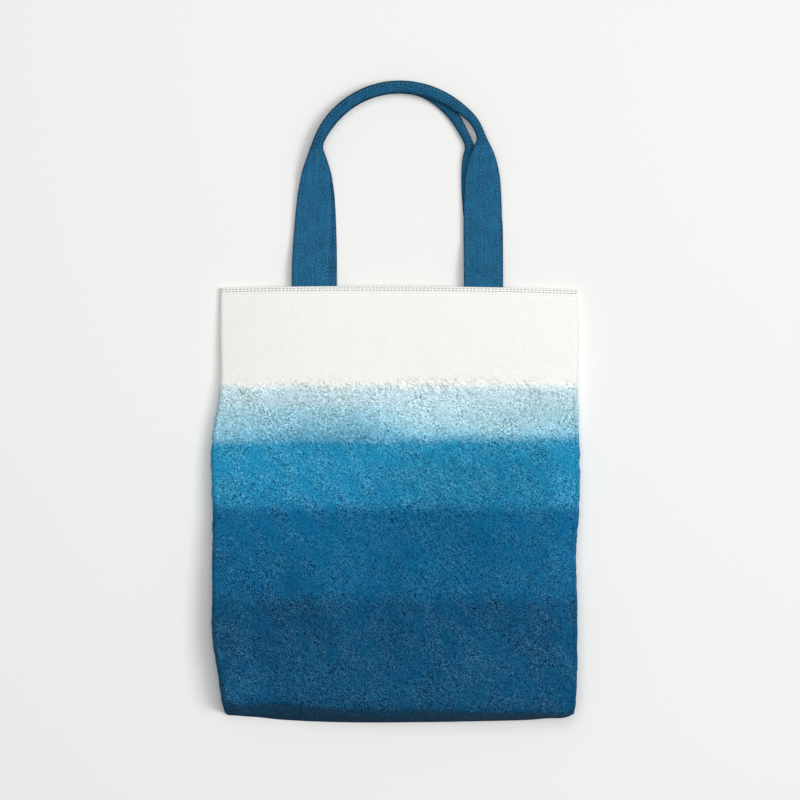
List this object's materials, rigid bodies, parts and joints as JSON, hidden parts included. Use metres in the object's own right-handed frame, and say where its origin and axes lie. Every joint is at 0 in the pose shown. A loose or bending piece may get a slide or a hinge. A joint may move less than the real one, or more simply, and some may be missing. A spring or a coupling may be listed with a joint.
{
  "type": "tote bag",
  "caption": "Soft cloth tote bag lying on its back, hollow with an open mouth and a boxed base, with two strap handles rolled to slim grips and laid out in an arch.",
  "frame": {"origin": "on the surface that the bag lies on, below the middle of its outline from base to handles", "axes": "+Y from the base to the handles, +Z out of the front panel, +X to the right seen from the front"},
  "size_m": [0.3427, 0.596, 0.0427],
  "materials": {
    "body_cloth": "matt crinkled cloth, dyed in steps from white at the mouth to dark indigo at the base",
    "hem_cloth": "matt undyed cloth with dark grey stitches",
    "handle_cloth": "matt indigo twill with stitched edges"
  },
  "bodies": {
    "root": {"bag_body": "body_cloth", "mouth_hem": "hem_cloth", "handle_front": "handle_cloth", "handle_back": "handle_cloth"}
  },
  "joints": []
}
